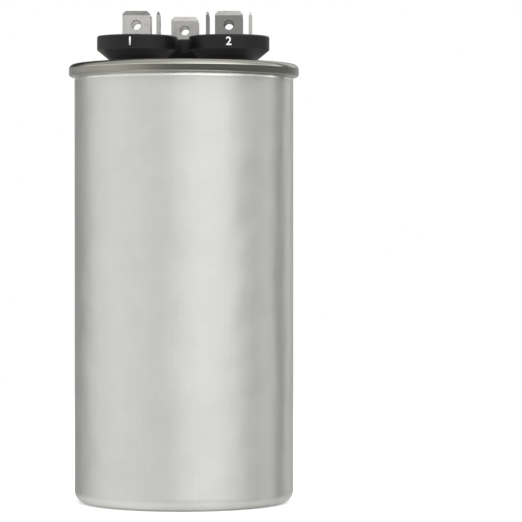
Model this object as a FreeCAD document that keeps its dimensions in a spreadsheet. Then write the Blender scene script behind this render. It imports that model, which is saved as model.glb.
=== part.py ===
import FreeCAD, Part
import os
import re
import Sketcher

# Dual motor run capacitor in a round, double-seamed aluminium can.
#
# The part stands on its base with +Z up and its origin at the middle of the base.
# Its front faces -Y: the fan terminal is at the front left, the compressor terminal
# at the front right and the common terminal at the back. Lengths are millimetres.

SIZES = {
    # Can: one drawn piece of aluminium.
    "case_height": 101.6,             # table to the crown of the seam
    "can_radius": 25.4,
    "can_wall": 0.5,
    "can_floor": 0.8,
    "can_base_corner": 2.8,           # outside radius where the wall meets the floor
    "neck_depth": 0.15,               # the seam rolls press the wall in by this much
    "neck_height": 0.7,               # taper from the wall up to the seam
    # Double seam: the lid's edge rolled round the can's hook.
    "lid_wall": 0.4,
    "seam_height": 2.9,
    "seam_gap": 0.05,                 # sealing film between neighbouring layers
    "seam_compound_depth": 0.3,       # room for compound over the can's hook
    "countersink_depth": 2.9,         # crown of the seam to the lid's panel
    "panel_corner": 0.6,              # radius where the panel turns up to the seam
    # Three terminals on one circle.
    "terminal_circle": 12.2,
    "common_angle": 90,               # degrees from +X to the common terminal
    # Terminal cup: moulded insulator above the lid.
    "cup_gap": 2.6,                   # between the rims of neighbouring cups
    "cup_height": 9.1,
    "cup_band_height": 3.2,
    "cup_taper_height": 2.35,
    "cup_foot_radius": 6.4,
    "cup_rim_wall": 1.1,
    "cup_edge_round": 0.35,
    "cup_floor_height": 6.8,
    "plate_seat_depth": 0.5,          # square seat that stops the plate turning
    "plate_seat_clearance": 0.2,
    "spigot_radius": 3.2,             # neck of the cup through the lid
    "spigot_reach": 0.8,              # how far the neck stands out below the lid
    "terminal_fit": 0.1,              # radial clearance between stacked terminal parts
    # Rubber ring under the cup.
    "gasket_radius": 5.2,
    "gasket_height": 0.7,
    # Folded terminal plate with push-on tabs.
    "tab_width": 6.35,
    "tab_thickness": 0.8,
    "tab_height": 8.3,
    "tab_spread": 10.6,               # across the outer faces of opposite tabs
    "tab_bend": 0.6,                  # inside radius of the fold
    "tab_tip_thickness": 0.4,
    "tab_tip_bevel": 1.0,
    "tab_corner_cut": 0.75,
    "tab_hole_radius": 1.03,
    "tab_hole_drop": 3.3,             # tip of the tab to the middle of its hole
    "tab_hole_edge": 0.15,
    # Stud riveted through plate, cup and lid.
    "stud_radius": 1.6,
    "tenon_radius": 0.9,
    "rivet_head_radius": 1.25,
    "rivet_head_height": 0.28,
    "stud_flange_radius": 3.5,
    "stud_flange_height": 0.8,
    # Insulating bush below the lid.
    "bush_radius": 5.0,
    "bush_height": 1.5,
    # Pressure interrupter plate.
    "interrupter_depth": 4.7,         # lid panel down to the top of the plate
    "interrupter_thickness": 1.5,
    "interrupter_skirt_height": 6.5,
    "interrupter_skirt_overhang": 0.5,  # outside of the skirt beyond the wrap
    "interrupter_skirt_wall": 1.2,
    "interrupter_clearance": 0.3,     # to the bore of the can
    "vent_radius": 1.5,
    "vent_inset": 6.1,                # edge of the plate in to the middle of a vent
    # Lead strips of tinned copper.
    "lead_width": 3.0,
    "lead_thickness": 0.3,
    "lead_bend": 0.6,
    "lead_slot_clearance": 0.2,
    "lead_end_margin": 1.8,           # strip beyond the middle of the stud
    "compressor_foot_length": 3.4,
    "common_foot_length": 11.0,
    "fan_lead_inset": 1.4,            # edge of the fan section in to the upright strip
    # Wound sections and what holds them.
    "base_cup_clearance": 0.3,        # to the bore of the can
    "base_cup_wall": 0.8,
    "base_cup_floor": 1.0,
    "base_cup_height": 12.0,
    "core_bore_radius": 3.2,
    "core_wall": 1.0,
    "fan_section_radius": 9.4,
    "barrier_wall": 0.5,
    "wrap_clearance": 0.3,            # wrap to the wall of the base cup
    "wrap_wall": 0.5,
    "spray_thickness": 0.8,
    "barrier_stand": 2.6,             # tubes and wrap stand this far above the spray
}

# The can below its neck.
CAN_BORE = "(can_radius - can_wall)"
CAN_INNER_CORNER = "(can_base_corner - can_floor)"
NECK_RADIUS = "(can_radius - neck_depth)"
NECK_BORE = f"({NECK_RADIUS} - can_wall)"

# Seam radii, counted outwards through its five layers.
CHUCK_OUTSIDE = f"({NECK_BORE} - seam_gap)"
CHUCK_INSIDE = f"({CHUCK_OUTSIDE} - lid_wall)"
COVER_HOOK_INSIDE = f"({NECK_RADIUS} + seam_gap)"
COVER_HOOK_OUTSIDE = f"({COVER_HOOK_INSIDE} + lid_wall)"
BODY_HOOK_INSIDE = f"({COVER_HOOK_OUTSIDE} + seam_gap)"
BODY_HOOK_OUTSIDE = f"({BODY_HOOK_INSIDE} + can_wall)"
SEAM_INSIDE = f"({BODY_HOOK_OUTSIDE} + seam_gap)"
SEAM_OUTSIDE = f"({SEAM_INSIDE} + lid_wall)"
CROWN_RADIUS = f"({COVER_HOOK_INSIDE} + lid_wall / 2)"
CURL_RADIUS = f"({BODY_HOOK_INSIDE} + can_wall / 2)"

# Bends of the seam: inside radius of each, and the height of its middle.
CROWN_BEND = "(2 * seam_gap + can_wall + lid_wall / 2)"
HOOK_BEND = "(seam_gap + lid_wall / 2)"
CURL_BEND = "(seam_gap + can_wall / 2)"
CROWN_HEIGHT = f"(case_height - lid_wall - {CROWN_BEND})"
HOOK_HEIGHT = f"({CROWN_HEIGHT} + seam_gap - seam_compound_depth)"
SEAM_BOTTOM = "(case_height - seam_height)"
CURL_HEIGHT = f"({SEAM_BOTTOM} + lid_wall + {CURL_BEND})"

# Heights inside the case, counted down from the lid and up from the floor.
PANEL_TOP = "(case_height - countersink_depth)"
INTERRUPTER_TOP = f"({PANEL_TOP} - interrupter_depth)"
INTERRUPTER_BOTTOM = f"({INTERRUPTER_TOP} - interrupter_thickness)"
TUBE_TOP = f"({INTERRUPTER_BOTTOM} - interrupter_skirt_height)"
SPRAY_TOP = f"({TUBE_TOP} - barrier_stand)"
WINDING_TOP = f"({SPRAY_TOP} - spray_thickness)"
WINDING_FLOOR = "(can_floor + base_cup_floor)"
WINDING_BOTTOM = f"({WINDING_FLOOR} + spray_thickness)"
WINDING_LENGTH = f"({WINDING_TOP} - {WINDING_BOTTOM})"

# Radii inside the case, counted in from the can's bore and out from the core.
BASE_CUP_RADIUS = f"({CAN_BORE} - base_cup_clearance)"
BASE_CUP_BORE = f"({BASE_CUP_RADIUS} - base_cup_wall)"
WRAP_RADIUS = f"({BASE_CUP_BORE} - wrap_clearance)"
WINDING_RADIUS = f"({WRAP_RADIUS} - wrap_wall)"
SKIRT_RADIUS = f"({WRAP_RADIUS} + interrupter_skirt_overhang)"
SKIRT_BORE = f"({SKIRT_RADIUS} - interrupter_skirt_wall)"
CORE_RADIUS = "(core_bore_radius + core_wall)"
BARRIER_RADIUS = "(fan_section_radius + barrier_wall)"
FAN_LEAD_REACH = "(fan_section_radius - fan_lead_inset)"
COMPRESSOR_LEAD_REACH = f"(({BARRIER_RADIUS} + {WINDING_RADIUS}) / 2)"

# Three equal cups round the circle leave one gap between neighbours.
CUP_RADIUS = "(terminal_circle * sin(60) - cup_gap / 2)"

# Heights of one terminal, measured from the top of the lid's panel.
PLATE_SEAT = "(cup_floor_height - plate_seat_depth)"
BUSH_BOTTOM = "(0 - lid_wall - bush_height)"
STUD_FLANGE_BOTTOM = f"({BUSH_BOTTOM} - stud_flange_height)"
STUD_BOTTOM = "(lead_thickness - interrupter_depth)"
SPIGOT_END = "(0 - lid_wall - spigot_reach)"
STUD_BORE = "(stud_radius + terminal_fit)"

# Degrees from +X to the front, which the first tab of every terminal faces.
FRONT = -90

# Terminal name, its angle round the lid, how many tabs it has and the angle that
# they span, counted anticlockwise from the first.
TERMINALS = (
    ("fan", "(common_angle + 120)", 3, 180),
    ("compressor", "(common_angle + 240)", 4, 360),
    ("common", "(common_angle)", 2, 180),
)


document = FreeCAD.newDocument("RunCapacitor")


def make_sheet():
    """Put every driving size in one sheet, each cell under its own alias."""
    sheet = document.addObject("Spreadsheet::Sheet", "Sizes")
    for row, (alias, number) in enumerate(SIZES.items(), start=1):
        sheet.set(f"A{row}", alias)
        sheet.set(f"B{row}", str(number))
        sheet.setAlias(f"B{row}", alias)
    document.recompute()
    return sheet


def bound(text):
    """Turn a size text into an expression that reads the sheet."""
    return re.sub(r"[a-z]+(?:_[a-z]+)+", lambda alias: "Sizes." + alias.group(0), text)


def new_body(name):
    """One sub-part: a body whose label names its file."""
    body = document.addObject("PartDesign::Body", name)
    body.Label = name
    return body


def new_sketch(body, plane_role, name):
    """A sketch on one of the body's own origin planes."""
    sketch = body.newObject("Sketcher::SketchObject", name)
    planes = [item for item in body.Origin.OriginFeatures if item.Role == plane_role]
    sketch.AttachmentSupport = [(planes[0], "")]
    sketch.MapMode = "FlatFace"
    return sketch


def bind(sketch, kind, first, second, text, name):
    """A named dimension of the sketch, tied to a size text."""
    number = float(sketch.evalExpression(bound(text)))
    index = sketch.addConstraint(Sketcher.Constraint(kind, *first, *second, number))
    sketch.renameConstraint(index, name)
    sketch.setExpression(f"Constraints.{name}", bound(text))


def place_point(sketch, point, across, up, name):
    """Hold one point of the sketch at a pair of size texts."""
    origin = (-1, 1)
    if across == "0":
        sketch.addConstraint(Sketcher.Constraint("PointOnObject", *point, -2))
    else:
        bind(sketch, "DistanceX", origin, point, across, name + "_across")
    if up == "0":
        sketch.addConstraint(Sketcher.Constraint("PointOnObject", *point, -1))
    else:
        bind(sketch, "DistanceY", origin, point, up, name + "_up")


def outline(sketch, *corners):
    """Draw a closed outline through corners given as (across, up, edge).

    The edge leads from the corner before: "line", "turn_across" for a quarter
    round that sets off sideways, or "turn_up" for one that sets off up or down.
    """
    drawn_before = len(sketch.Geometry)
    spots = []
    for across, up, edge in corners:
        x = float(sketch.evalExpression(bound(across)))
        y = float(sketch.evalExpression(bound(up)))
        spots.append(FreeCAD.Vector(x, y, 0))
    ends = []
    for index, (across, up, edge) in enumerate(corners):
        start = spots[index - 1]
        end = spots[index]
        if edge == "line":
            geometry = sketch.addGeometry(Part.LineSegment(start, end), False)
            ends.append(((geometry, 1), (geometry, 2)))
            continue
        sideways = edge == "turn_across"
        centre = FreeCAD.Vector(start.x, end.y, 0) if sideways else FreeCAD.Vector(end.x, start.y, 0)
        out = start - centre
        back = end - centre
        counter_clockwise = out.cross(back).z > 0
        halfway = centre + (out + back).normalize() * out.Length
        geometry = sketch.addGeometry(Part.Arc(start, halfway, end), False)
        near = (geometry, 1) if counter_clockwise else (geometry, 2)
        far = (geometry, 2) if counter_clockwise else (geometry, 1)
        ends.append((near, far))
        line_up = "Vertical" if sideways else "Horizontal"
        sketch.addConstraint(Sketcher.Constraint(line_up, *near, geometry, 3))
    for index, (across, up, edge) in enumerate(corners):
        following = (index + 1) % len(corners)
        sketch.addConstraint(Sketcher.Constraint("Coincident", *ends[index][1], *ends[following][0]))
        place_point(sketch, ends[index][1], across, up, f"corner{drawn_before + index}")


def circle(sketch, across, up, radius, name):
    """A circle whose centre and radius are size texts."""
    x = float(sketch.evalExpression(bound(across)))
    y = float(sketch.evalExpression(bound(up)))
    reach = float(sketch.evalExpression(bound(radius)))
    ring = Part.Circle(FreeCAD.Vector(x, y, 0), FreeCAD.Vector(0, 0, 1), reach)
    geometry = sketch.addGeometry(ring, False)
    if across == "0" and up == "0":
        sketch.addConstraint(Sketcher.Constraint("Coincident", geometry, 3, -1, 1))
    else:
        place_point(sketch, (geometry, 3), across, up, name)
    bind(sketch, "Radius", (geometry,), (), radius, name + "_radius")


def revolve(body, sketch):
    """Turn a profile a full round about the upright axis."""
    feature = body.newObject("PartDesign::Revolution", "Turned")
    feature.Profile = sketch
    feature.ReferenceAxis = (sketch, ["V_Axis"])
    feature.Angle = 360
    return feature


def pad(body, sketch, length, both_ways=False):
    """Thicken a sketch, upwards or to both sides of its plane."""
    feature = body.newObject("PartDesign::Pad", "Thickness")
    feature.Profile = sketch
    feature.SideType = "Symmetric" if both_ways else "One side"
    feature.setExpression("Length", bound(length))
    return feature


def pocket(body, sketch, both_ways=False, reverse=False, length=None):
    """Cut a sketch out, through everything unless a length is given."""
    document.recompute()
    before = body.Shape.Volume
    feature = body.newObject("PartDesign::Pocket", "Cut")
    feature.Profile = sketch
    feature.SideType = "Symmetric" if both_ways else "One side"
    feature.Reversed = reverse
    if length is None:
        feature.Type = "ThroughAll"
    else:
        feature.setExpression("Length", bound(length))
    document.recompute()
    if body.Shape.Volume > before - 1e-6:
        raise RuntimeError(f"A cut in {body.Label} removes nothing")
    return feature


def lift(sketch, height):
    """Raise a sketch above its plane by a size text."""
    sketch.setExpression("AttachmentOffset.Base.z", bound(height))


def stand_on_lid(body, angle, height="0", turn=0):
    """Stand a terminal piece on the lid's panel, at its angle round the lid."""
    body.setExpression("Placement.Base.x", bound(f"terminal_circle * cos({angle})"))
    body.setExpression("Placement.Base.y", bound(f"terminal_circle * sin({angle})"))
    body.setExpression("Placement.Base.z", bound(f"{PANEL_TOP} + {height}"))
    body.Placement.Rotation = FreeCAD.Rotation(FreeCAD.Vector(0, 0, 1), turn)


def make_tube(name, inside, outside, bottom, length):
    """A straight ring or tube about the can's axis."""
    body = new_body(name)
    sketch = new_sketch(body, "XY_Plane", "Ring")
    circle(sketch, "0", "0", outside, "outer")
    circle(sketch, "0", "0", inside, "inner")
    pad(body, sketch, length)
    body.setExpression("Placement.Base.z", bound(bottom))
    return body


def make_can():
    """The drawn can: its wall is pressed in to a neck, then turned out and down."""
    body = new_body("can")
    sketch = new_sketch(body, "XZ_Plane", "WallSection")
    outline(
        sketch,
        ("0", "0", "line"),
        ("can_radius - can_base_corner", "0", "line"),
        ("can_radius", "can_base_corner", "turn_across"),
        ("can_radius", f"{SEAM_BOTTOM} - neck_height", "line"),
        (NECK_RADIUS, SEAM_BOTTOM, "line"),
        (NECK_RADIUS, HOOK_HEIGHT, "line"),
        (CROWN_RADIUS, f"{HOOK_HEIGHT} + {HOOK_BEND}", "turn_up"),
        (BODY_HOOK_INSIDE, HOOK_HEIGHT, "turn_across"),
        (BODY_HOOK_INSIDE, CURL_HEIGHT, "line"),
        (BODY_HOOK_OUTSIDE, CURL_HEIGHT, "line"),
        (BODY_HOOK_OUTSIDE, HOOK_HEIGHT, "line"),
        (CROWN_RADIUS, f"{HOOK_HEIGHT} + {HOOK_BEND} + can_wall", "turn_up"),
        (NECK_BORE, HOOK_HEIGHT, "turn_across"),
        (NECK_BORE, SEAM_BOTTOM, "line"),
        (CAN_BORE, f"{SEAM_BOTTOM} - neck_height", "line"),
        (CAN_BORE, "can_base_corner", "line"),
        (f"{CAN_BORE} - {CAN_INNER_CORNER}", "can_floor", "turn_up"),
        ("0", "can_floor", "line"),
    )
    revolve(body, sketch)
    return body


def make_lid():
    """The lid: panel, chuck wall, crown, outer wall and the hook curled up inside."""
    body = new_body("lid")
    sketch = new_sketch(body, "XZ_Plane", "SheetSection")
    outline(
        sketch,
        ("0", PANEL_TOP, "line"),
        (f"{CHUCK_INSIDE} - panel_corner", PANEL_TOP, "line"),
        (CHUCK_INSIDE, f"{PANEL_TOP} + panel_corner", "turn_across"),
        (CHUCK_INSIDE, CROWN_HEIGHT, "line"),
        (CROWN_RADIUS, "case_height", "turn_up"),
        (SEAM_OUTSIDE, CROWN_HEIGHT, "turn_across"),
        (SEAM_OUTSIDE, CURL_HEIGHT, "line"),
        (CURL_RADIUS, SEAM_BOTTOM, "turn_up"),
        (COVER_HOOK_INSIDE, CURL_HEIGHT, "turn_across"),
        (COVER_HOOK_INSIDE, HOOK_HEIGHT, "line"),
        (COVER_HOOK_OUTSIDE, HOOK_HEIGHT, "line"),
        (COVER_HOOK_OUTSIDE, CURL_HEIGHT, "line"),
        (CURL_RADIUS, f"{SEAM_BOTTOM} + lid_wall", "turn_up"),
        (SEAM_INSIDE, CURL_HEIGHT, "turn_across"),
        (SEAM_INSIDE, CROWN_HEIGHT, "line"),
        (CROWN_RADIUS, "case_height - lid_wall", "turn_up"),
        (CHUCK_OUTSIDE, CROWN_HEIGHT, "turn_across"),
        (CHUCK_OUTSIDE, f"{PANEL_TOP} + panel_corner", "line"),
        (f"{CHUCK_INSIDE} - panel_corner", f"{PANEL_TOP} - lid_wall", "turn_up"),
        ("0", f"{PANEL_TOP} - lid_wall", "line"),
    )
    revolve(body, sketch)
    hole = new_sketch(body, "XY_Plane", "TerminalHole")
    circle(
        hole,
        "terminal_circle * cos(common_angle)",
        "terminal_circle * sin(common_angle)",
        "spigot_radius + terminal_fit",
        "hole",
    )
    cut = pocket(body, hole, reverse=True)
    pattern = body.newObject("PartDesign::PolarPattern", "TerminalHoles")
    pattern.Originals = [cut]
    pattern.Axis = (hole, ["N_Axis"])
    pattern.Angle = 360
    pattern.Occurrences = len(TERMINALS)
    body.Tip = pattern
    return body


def make_seam_compound():
    """The sealing ring in the crescent between the crown and the can's hook."""
    body = new_body("seam_compound")
    sketch = new_sketch(body, "XZ_Plane", "Crescent")
    outline(
        sketch,
        (CHUCK_OUTSIDE, HOOK_HEIGHT, "line"),
        (CHUCK_OUTSIDE, CROWN_HEIGHT, "line"),
        (CROWN_RADIUS, "case_height - lid_wall", "turn_up"),
        (SEAM_INSIDE, CROWN_HEIGHT, "turn_across"),
        (SEAM_INSIDE, HOOK_HEIGHT, "line"),
        (BODY_HOOK_OUTSIDE, HOOK_HEIGHT, "line"),
        (CROWN_RADIUS, f"{HOOK_HEIGHT} + {HOOK_BEND} + can_wall", "turn_up"),
        (NECK_BORE, HOOK_HEIGHT, "turn_across"),
    )
    revolve(body, sketch)
    return body


def make_cup(name, angle):
    """A terminal cup: rim band, taper, foot, spigot through the lid and stud bore."""
    body = new_body(name + "_cup")
    sketch = new_sketch(body, "XZ_Plane", "CupSection")
    rim_inside = f"({CUP_RADIUS} - cup_rim_wall)"
    band_bottom = "(cup_height - cup_band_height)"
    gasket_pocket = "(gasket_radius + terminal_fit)"
    outline(
        sketch,
        (STUD_BORE, "cup_floor_height", "line"),
        (STUD_BORE, SPIGOT_END, "line"),
        ("spigot_radius", SPIGOT_END, "line"),
        ("spigot_radius", "gasket_height", "line"),
        (gasket_pocket, "gasket_height", "line"),
        (gasket_pocket, "0", "line"),
        ("cup_foot_radius", "0", "line"),
        ("cup_foot_radius", f"{band_bottom} - cup_taper_height", "line"),
        (CUP_RADIUS, band_bottom, "line"),
        (CUP_RADIUS, "cup_height - cup_edge_round", "line"),
        (f"{CUP_RADIUS} - cup_edge_round", "cup_height", "turn_up"),
        (f"{rim_inside} + cup_edge_round", "cup_height", "line"),
        (rim_inside, "cup_height - cup_edge_round", "turn_across"),
        (rim_inside, "cup_floor_height", "line"),
    )
    revolve(body, sketch)
    seat = new_sketch(body, "XY_Plane", "PlateSeat")
    half = "(tab_spread / 2 + plate_seat_clearance)"
    outline(
        seat,
        (f"0 - {half}", f"0 - {half}", "line"),
        (half, f"0 - {half}", "line"),
        (half, half, "line"),
        (f"0 - {half}", half, "line"),
    )
    lift(seat, PLATE_SEAT)
    pocket(body, seat, reverse=True)
    stand_on_lid(body, angle)
    return body


def make_gasket(name, angle):
    """The rubber ring between a cup's foot and the lid."""
    body = new_body(name + "_gasket")
    sketch = new_sketch(body, "XY_Plane", "Ring")
    circle(sketch, "0", "0", "gasket_radius", "outer")
    circle(sketch, "0", "0", "spigot_radius + terminal_fit", "inner")
    pad(body, sketch, "gasket_height")
    stand_on_lid(body, angle)
    return body


def make_inner_insulator(name, angle):
    """The bush under the lid that receives the spigot and keeps the stud clear."""
    body = new_body(name + "_inner_insulator")
    sketch = new_sketch(body, "XZ_Plane", "BushSection")
    socket_radius = "(spigot_radius + terminal_fit)"
    socket_floor = f"({SPIGOT_END} - terminal_fit)"
    outline(
        sketch,
        (STUD_BORE, socket_floor, "line"),
        (STUD_BORE, BUSH_BOTTOM, "line"),
        ("bush_radius", BUSH_BOTTOM, "line"),
        ("bush_radius", "0 - lid_wall", "line"),
        (socket_radius, "0 - lid_wall", "line"),
        (socket_radius, socket_floor, "line"),
    )
    revolve(body, sketch)
    stand_on_lid(body, angle)
    return body


def make_stud(name, angle):
    """The stud: weld end, flange, shank, and a tenon riveted over the plate."""
    body = new_body(name + "_stud")
    sketch = new_sketch(body, "XZ_Plane", "StudSection")
    plate_top = f"({PLATE_SEAT} + tab_thickness)"
    outline(
        sketch,
        ("0", STUD_BOTTOM, "line"),
        ("stud_radius", STUD_BOTTOM, "line"),
        ("stud_radius", STUD_FLANGE_BOTTOM, "line"),
        ("stud_flange_radius", STUD_FLANGE_BOTTOM, "line"),
        ("stud_flange_radius", BUSH_BOTTOM, "line"),
        ("stud_radius", BUSH_BOTTOM, "line"),
        ("stud_radius", PLATE_SEAT, "line"),
        ("tenon_radius", PLATE_SEAT, "line"),
        ("tenon_radius", plate_top, "line"),
        ("rivet_head_radius", plate_top, "line"),
        ("rivet_head_radius - rivet_head_height", f"{plate_top} + rivet_head_height", "turn_up"),
        ("0", f"{plate_top} + rivet_head_height", "line"),
    )
    revolve(body, sketch)
    stand_on_lid(body, angle)
    return body


def make_terminal(name, angle, tab_count, tab_span):
    """A floor plate with tabs folded up from its sides, each with a bevelled tip."""
    body = new_body(name + "_terminal")
    half_plate = "(tab_spread / 2 - tab_thickness - tab_bend)"
    tab_inside = "(tab_spread / 2 - tab_thickness)"
    tab_outside = "(tab_spread / 2)"
    fold_top = "(tab_thickness + tab_bend)"
    tip_step = "((tab_thickness - tab_tip_thickness) / 2)"
    half_width = "(tab_width / 2)"

    plate = new_sketch(body, "XY_Plane", "FloorPlate")
    outline(
        plate,
        (f"0 - {half_plate}", f"0 - {half_plate}", "line"),
        (half_plate, f"0 - {half_plate}", "line"),
        (half_plate, half_plate, "line"),
        (f"0 - {half_plate}", half_plate, "line"),
    )
    circle(plate, "0", "0", "tenon_radius + terminal_fit / 2", "rivet_hole")
    pad(body, plate, "tab_thickness")

    fold = new_sketch(body, "XZ_Plane", "TabSection")
    outline(
        fold,
        (half_width, "0", "line"),
        (half_plate, "0", "line"),
        (tab_outside, fold_top, "turn_across"),
        (tab_outside, "tab_height - tab_tip_bevel", "line"),
        (f"{tab_outside} - {tip_step}", "tab_height", "line"),
        (f"{tab_inside} + {tip_step}", "tab_height", "line"),
        (tab_inside, "tab_height - tab_tip_bevel", "line"),
        (tab_inside, fold_top, "line"),
        (half_plate, "tab_thickness", "turn_up"),
        (half_width, "tab_thickness", "line"),
    )
    tab = pad(body, fold, "tab_width", both_ways=True)

    corners = new_sketch(body, "YZ_Plane", "TipCorners")
    for side in ("0 - ", ""):
        outline(
            corners,
            (f"{side}({half_width} - tab_corner_cut)", "tab_height", "line"),
            (f"{side}{half_width}", "tab_height - tab_corner_cut", "line"),
            (f"{side}{half_width}", "tab_height", "line"),
        )
    corner_cut = pocket(body, corners, reverse=True)

    detent = new_sketch(body, "YZ_Plane", "TabHole")
    circle(detent, "0", "tab_height - tab_hole_drop", "tab_hole_radius", "hole")
    hole = pocket(body, detent, reverse=True)

    pattern = body.newObject("PartDesign::PolarPattern", "Tabs")
    pattern.Originals = [tab, corner_cut, hole]
    pattern.Axis = (plate, ["N_Axis"])
    pattern.Angle = tab_span
    pattern.Occurrences = tab_count
    body.Tip = pattern
    document.recompute()

    coined = body.newObject("PartDesign::Chamfer", "CoinedHoles")
    coined.Base = (pattern, hole_rims(pattern.Shape))
    coined.setExpression("Size", bound("tab_hole_edge"))
    body.Tip = coined
    stand_on_lid(body, angle, PLATE_SEAT, FRONT)
    return body


def hole_rims(shape):
    """The names of the round edges of the tab holes, on both faces of each tab."""
    rims = []
    radius = float(document.Sizes.tab_hole_radius)
    height = float(document.Sizes.tab_height) - float(document.Sizes.tab_hole_drop)
    for index, edge in enumerate(shape.Edges, start=1):
        curve = edge.Curve
        if not isinstance(curve, Part.Circle):
            continue
        if abs(curve.Radius - radius) < 1e-4 and abs(curve.Center.z - height) < 1e-4:
            rims.append(f"Edge{index}")
    return rims


def make_interrupter():
    """The plate on a skirt that stands on the winding's wrap, with slots for leads.

    Its vents lie halfway between the angles of the slots.
    """
    body = new_body("interrupter_disc")
    plate_radius = f"({CAN_BORE} - interrupter_clearance)"
    sketch = new_sketch(body, "XZ_Plane", "PlateSection")
    outline(
        sketch,
        ("0", INTERRUPTER_TOP, "line"),
        ("0", INTERRUPTER_BOTTOM, "line"),
        (SKIRT_BORE, INTERRUPTER_BOTTOM, "line"),
        (SKIRT_BORE, TUBE_TOP, "line"),
        (SKIRT_RADIUS, TUBE_TOP, "line"),
        (SKIRT_RADIUS, INTERRUPTER_BOTTOM, "line"),
        (plate_radius, INTERRUPTER_BOTTOM, "line"),
        (plate_radius, INTERRUPTER_TOP, "line"),
    )
    revolve(body, sketch)
    opening = new_sketch(body, "XY_Plane", "CoreOpening")
    circle(opening, "0", "0", "core_bore_radius - lead_bend", "core")
    pocket(body, opening, reverse=True)
    vents = new_sketch(body, "XY_Plane", "Vent")
    vent_reach = f"({plate_radius} - vent_inset)"
    vent_across = f"0 - {vent_reach} * cos(common_angle)"
    vent_up = f"0 - {vent_reach} * sin(common_angle)"
    circle(vents, vent_across, vent_up, "vent_radius", "vent")
    vent = pocket(body, vents, reverse=True)
    pattern = body.newObject("PartDesign::PolarPattern", "Vents")
    pattern.Originals = [vent]
    pattern.Axis = (vents, ["N_Axis"])
    pattern.Angle = 360
    pattern.Occurrences = len(TERMINALS)
    body.Tip = pattern
    lead_slot(body, FAN_LEAD_REACH, TERMINALS[0][1], 1)
    lead_slot(body, COMPRESSOR_LEAD_REACH, TERMINALS[1][1], -1)
    return body


def lead_slot(body, reach, angle, head_side):
    """A slot that a lead strip passes, wide enough for the bend of its head."""
    slot = new_sketch(body, "XY_Plane", "LeadSlot")
    half_width = "(lead_width / 2 + lead_slot_clearance)"
    back = "(lead_thickness / 2 + lead_slot_clearance)"
    front = f"({back} + lead_bend)"
    near = f"({reach} - {back if head_side > 0 else front})"
    far = f"({reach} + {front if head_side > 0 else back})"
    outline(
        slot,
        (near, f"0 - {half_width}", "line"),
        (far, f"0 - {half_width}", "line"),
        (far, half_width, "line"),
        (near, half_width, "line"),
    )
    slot.setExpression("AttachmentOffset.Rotation.Angle", bound(angle))
    pocket(body, slot, reverse=True)


def make_lead(name, angle, reach, foot, foot_side, foot_end, head_side, head_end):
    """A strip: foot on the sprayed face, upright run, and a head under the stud.

    The sides say whether foot and head point away from the axis (1) or to it (-1).
    """
    body = new_body(name + "_lead")
    sketch = new_sketch(body, "XZ_Plane", "StripSection")
    half = "lead_thickness / 2"
    foot_out = "+" if foot_side > 0 else "-"
    foot_in = "-" if foot_side > 0 else "+"
    head_out = "+" if head_side > 0 else "-"
    head_in = "-" if head_side > 0 else "+"
    foot_bend = f"{reach} {foot_out} ({half} + lead_bend)"
    head_bend = f"{reach} {head_out} ({half} + lead_bend)"
    head = INTERRUPTER_TOP
    outer_foot = (
        (foot_bend, foot, "line"),
        (f"{reach} {foot_in} {half}", f"{foot} + lead_thickness + lead_bend", "turn_across"),
    )
    inner_foot = (
        (f"{reach} {foot_out} {half}", f"{foot} + lead_thickness + lead_bend", "line"),
        (foot_bend, f"{foot} + lead_thickness", "turn_up"),
        (foot_end, f"{foot} + lead_thickness", "line"),
    )
    outer_head_edge = f"{reach} {head_in} {half}"
    inner_head_edge = f"{reach} {head_out} {half}"
    if foot_side == head_side:
        head_corners = (
            (outer_head_edge, f"{head} - lead_bend", "line"),
            (head_bend, f"{head} + lead_thickness", "turn_up"),
            (head_end, f"{head} + lead_thickness", "line"),
            (head_end, head, "line"),
            (head_bend, head, "line"),
            (inner_head_edge, f"{head} - lead_bend", "turn_across"),
        )
    else:
        head_corners = (
            (inner_head_edge, f"{head} - lead_bend", "line"),
            (head_bend, head, "turn_up"),
            (head_end, head, "line"),
            (head_end, f"{head} + lead_thickness", "line"),
            (head_bend, f"{head} + lead_thickness", "line"),
            (outer_head_edge, f"{head} - lead_bend", "turn_across"),
        )
    outline(sketch, (foot_end, foot, "line"), *outer_foot, *head_corners, *inner_foot)
    pad(body, sketch, "lead_width", both_ways=True)
    body.setExpression("Placement.Rotation.Angle", bound(angle))
    return body


def make_leads():
    """Three strips: two from the upper sprayed faces, one up through the core."""
    stud_far = "(terminal_circle + lead_end_margin)"
    stud_near = "(terminal_circle - lead_end_margin)"
    fan_angle = TERMINALS[0][1]
    compressor_angle = TERMINALS[1][1]
    common_angle = TERMINALS[2][1]
    under_spray = f"({WINDING_FLOOR} - lead_thickness)"
    past_bend = "lead_thickness / 2 + lead_bend"
    fan_foot = f"({CORE_RADIUS} + lead_slot_clearance)"
    compressor_foot = f"({COMPRESSOR_LEAD_REACH} + {past_bend} + compressor_foot_length)"
    common_foot = f"({past_bend} + common_foot_length)"
    make_lead("fan", fan_angle, FAN_LEAD_REACH, SPRAY_TOP, -1, fan_foot, 1, stud_far)
    make_lead(
        "compressor", compressor_angle, COMPRESSOR_LEAD_REACH, SPRAY_TOP, 1, compressor_foot,
        -1, stud_near,
    )
    make_lead("common", common_angle, "0", under_spray, 1, common_foot, 1, stud_far)


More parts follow.
